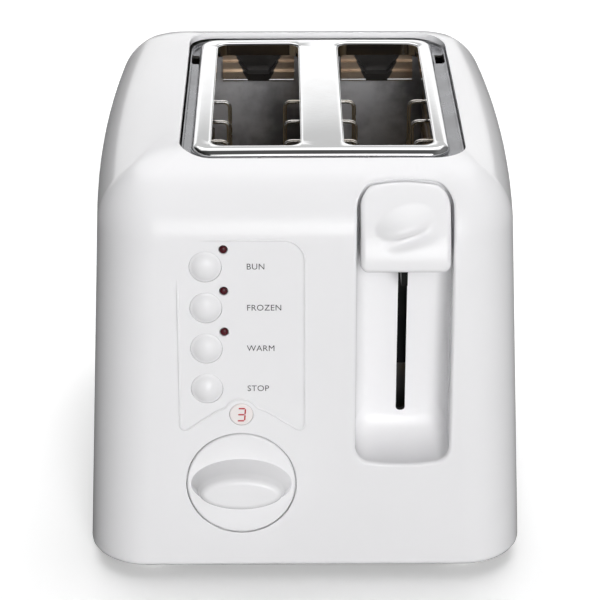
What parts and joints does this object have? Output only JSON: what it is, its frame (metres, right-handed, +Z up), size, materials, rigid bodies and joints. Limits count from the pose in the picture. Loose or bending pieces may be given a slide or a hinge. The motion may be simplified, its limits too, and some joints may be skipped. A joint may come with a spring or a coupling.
{
  "type": "pop up toaster",
  "caption": "Glossy white pop-up toaster with chrome-rimmed bread slots, push-down lever in a front recess, browning knob, push buttons, digit display and a rear crumb tray.",
  "frame": {"origin": "on the table, under the middle of the whole toaster's bounding box", "axes": "+Z up; the controls face -Y; +Y runs to the back, where the crumb tray pulls out; +X is to the right seen from the controls' side"},
  "size_m": [0.1948, 0.2534, 0.184],
  "materials": {
    "back_left_base_screw": "aluminised sheet steel",
    "back_left_foot": "light grey moulded plastic",
    "back_right_base_screw": "aluminised sheet steel",
    "back_right_foot": "light grey moulded plastic",
    "bagel_button": "moulded glossy white plastic",
    "bagel_lamp": "dark red lens",
    "bagel_switch": "black moulded plastic",
    "base_plate": "off-white textured plastic",
    "browning_control": "black moulded plastic",
    "browning_knob": "moulded glossy white plastic",
    "cancel_button": "moulded glossy white plastic",
    "cancel_switch": "black moulded plastic",
    "carriage_bracket": "aluminised sheet steel",
    "carriage_bush": "black moulded plastic",
    "carriage_spring": "bright drawn wire",
    "centre_heating_wire": "dull resistance wire",
    "centre_mica_board": "pressed mica sheet",
    "chassis_front_plate": "aluminised sheet steel",
    "chassis_rear_plate": "aluminised sheet steel",
    "control_board": "green circuit board",
    "cord_bush": "light grey moulded plastic",
    "crumb_tray": "aluminised sheet steel",
    "defrost_button": "moulded glossy white plastic",
    "defrost_lamp": "dark red lens",
    "defrost_switch": "black moulded plastic",
    "digit_module": "black moulded plastic",
    "display_lens": "clear display lens",
    "front_left_base_screw": "aluminised sheet steel",
    "front_left_foot": "light grey moulded plastic",
    "front_right_base_screw": "aluminised sheet steel",
    "front_right_foot": "light grey moulded plastic",
    "guide_rod": "bright drawn wire",
    "housing": "moulded glossy white plastic",
    "knob_shaft": "bright drawn wire",
    "left_bread_rack": "bright drawn wire",
    "left_bread_stop": "aluminised sheet steel",
    "left_heat_shield": "aluminised sheet steel",
    "left_heating_wire": "dull resistance wire",
    "left_mica_board": "pressed mica sheet",
    "left_slot_left_guard": "bright drawn wire",
    "left_slot_right_guard": "bright drawn wire",
    "lever_knob": "moulded glossy white plastic",
    "magnet_coil": "copper winding",
    "magnet_core": "aluminised sheet steel",
    "magnet_keeper": "aluminised sheet steel",
    "power_board": "green circuit board",
    "reheat_button": "moulded glossy white plastic",
    "reheat_lamp": "dark red lens",
    "reheat_switch": "black moulded plastic",
    "right_bread_rack": "bright drawn wire",
    "right_bread_stop": "aluminised sheet steel",
    "right_heat_shield": "aluminised sheet steel",
    "right_heating_wire": "dull resistance wire",
    "right_mica_board": "pressed mica sheet",
    "right_slot_left_guard": "bright drawn wire",
    "right_slot_right_guard": "bright drawn wire",
    "terminal_block": "black moulded plastic",
    "top_bezel": "polished chrome plate",
    "transformer": "black moulded plastic",
    "tray_handle": "moulded glossy white plastic"
  },
  "bodies": {
    "toaster": {"back_left_base_screw": "back_left_base_screw", "back_left_foot": "back_left_foot", "back_right_base_screw": "back_right_base_screw", "back_right_foot": "back_right_foot", "bagel_lamp": "bagel_lamp", "bagel_switch": "bagel_switch", "base_plate": "base_plate", "browning_control": "browning_control", "cancel_switch": "cancel_switch", "carriage_spring": "carriage_spring", "centre_heating_wire": "centre_heating_wire", "centre_mica_board": "centre_mica_board", "chassis_front_plate": "chassis_front_plate", "chassis_rear_plate": "chassis_rear_plate", "control_board": "control_board", "cord_bush": "cord_bush", "defrost_lamp": "defrost_lamp", "defrost_switch": "defrost_switch", "digit_module": "digit_module", "display_lens": "display_lens", "front_left_base_screw": "front_left_base_screw", "front_left_foot": "front_left_foot", "front_right_base_screw": "front_right_base_screw", "front_right_foot": "front_right_foot", "guide_rod": "guide_rod", "housing": "housing", "left_bread_stop": "left_bread_stop", "left_heat_shield": "left_heat_shield", "left_heating_wire": "left_heating_wire", "left_mica_board": "left_mica_board", "magnet_coil": "magnet_coil", "magnet_core": "magnet_core", "power_board": "power_board", "reheat_lamp": "reheat_lamp", "reheat_switch": "reheat_switch", "right_bread_stop": "right_bread_stop", "right_heat_shield": "right_heat_shield", "right_heating_wire": "right_heating_wire", "right_mica_board": "right_mica_board", "terminal_block": "terminal_block", "top_bezel": "top_bezel", "transformer": "transformer"},
    "carriage": {"carriage_bracket": "carriage_bracket", "carriage_bush": "carriage_bush", "magnet_keeper": "magnet_keeper", "left_bread_rack": "left_bread_rack", "right_bread_rack": "right_bread_rack", "lever_knob": "lever_knob"},
    "browning_knob": {"browning_knob": "browning_knob", "knob_shaft": "knob_shaft"},
    "crumb_tray": {"crumb_tray": "crumb_tray", "tray_handle": "tray_handle"},
    "bagel_button": {"bagel_button": "bagel_button"},
    "defrost_button": {"defrost_button": "defrost_button"},
    "reheat_button": {"reheat_button": "reheat_button"},
    "cancel_button": {"cancel_button": "cancel_button"},
    "left_slot_left_guard": {"left_slot_left_guard": "left_slot_left_guard"},
    "left_slot_right_guard": {"left_slot_right_guard": "left_slot_right_guard"},
    "right_slot_left_guard": {"right_slot_left_guard": "right_slot_left_guard"},
    "right_slot_right_guard": {"right_slot_right_guard": "right_slot_right_guard"}
  },
  "joints": [
    {"name": "lever_slide", "type": "slide", "parent": "toaster", "child": "carriage", "axis": [0, 0, 1], "range_m": [-0.063, 0], "stiffness_N_per_m": 60, "springref_m": 0.06, "deforming": ["carriage_spring"]},
    {"name": "browning_turn", "type": "hinge", "parent": "toaster", "child": "browning_knob", "pos_m": [-0.0275, -0.11495, 0.0453], "axis": [0, 0.9981, -0.0611], "range_deg": [-80, 160]},
    {"name": "bagel_press", "type": "slide", "parent": "toaster", "child": "bagel_button", "axis": [0, 0.9981, -0.0611], "range_m": [0, 0.0015], "stiffness_N_per_m": 400, "springref_m": -0.001},
    {"name": "defrost_press", "type": "slide", "parent": "toaster", "child": "defrost_button", "axis": [0, 0.9981, -0.0611], "range_m": [0, 0.0015], "stiffness_N_per_m": 400, "springref_m": -0.001},
    {"name": "reheat_press", "type": "slide", "parent": "toaster", "child": "reheat_button", "axis": [0, 0.9981, -0.0611], "range_m": [0, 0.0015], "stiffness_N_per_m": 400, "springref_m": -0.001},
    {"name": "cancel_press", "type": "slide", "parent": "toaster", "child": "cancel_button", "axis": [0, 0.9981, -0.0611], "range_m": [0, 0.0015], "stiffness_N_per_m": 400, "springref_m": -0.001},
    {"name": "tray_slide", "type": "slide", "parent": "toaster", "child": "crumb_tray", "axis": [0, 1, 0], "range_m": [0, 0.165]},
    {"name": "left_slot_left_guard_swing", "type": "hinge", "parent": "toaster", "child": "left_slot_left_guard", "pos_m": [-0.0332, -0.00071, 0.031], "axis": [0, 1, 0], "range_deg": [0, 2.2]},
    {"name": "left_slot_right_guard_swing", "type": "hinge", "parent": "toaster", "child": "left_slot_right_guard", "pos_m": [-0.0082, -0.00071, 0.031], "axis": [0, 1, 0], "range_deg": [-2.2, 0]},
    {"name": "right_slot_left_guard_swing", "type": "hinge", "parent": "toaster", "child": "right_slot_left_guard", "pos_m": [0.0232, -0.00071, 0.031], "axis": [0, 1, 0], "range_deg": [0, 2.2]},
    {"name": "right_slot_right_guard_swing", "type": "hinge", "parent": "toaster", "child": "right_slot_right_guard", "pos_m": [0.0482, -0.00071, 0.031], "axis": [0, 1, 0], "range_deg": [-2.2, 0]}
  ],
  "couplings": [
    {"joint": "left_slot_left_guard_swing", "follows": "lever_slide", "rad_per_m": -0.59563},
    {"joint": "left_slot_right_guard_swing", "follows": "lever_slide", "rad_per_m": 0.59563},
    {"joint": "right_slot_left_guard_swing", "follows": "lever_slide", "rad_per_m": -0.59563},
    {"joint": "right_slot_right_guard_swing", "follows": "lever_slide", "rad_per_m": 0.59563}
  ]
}
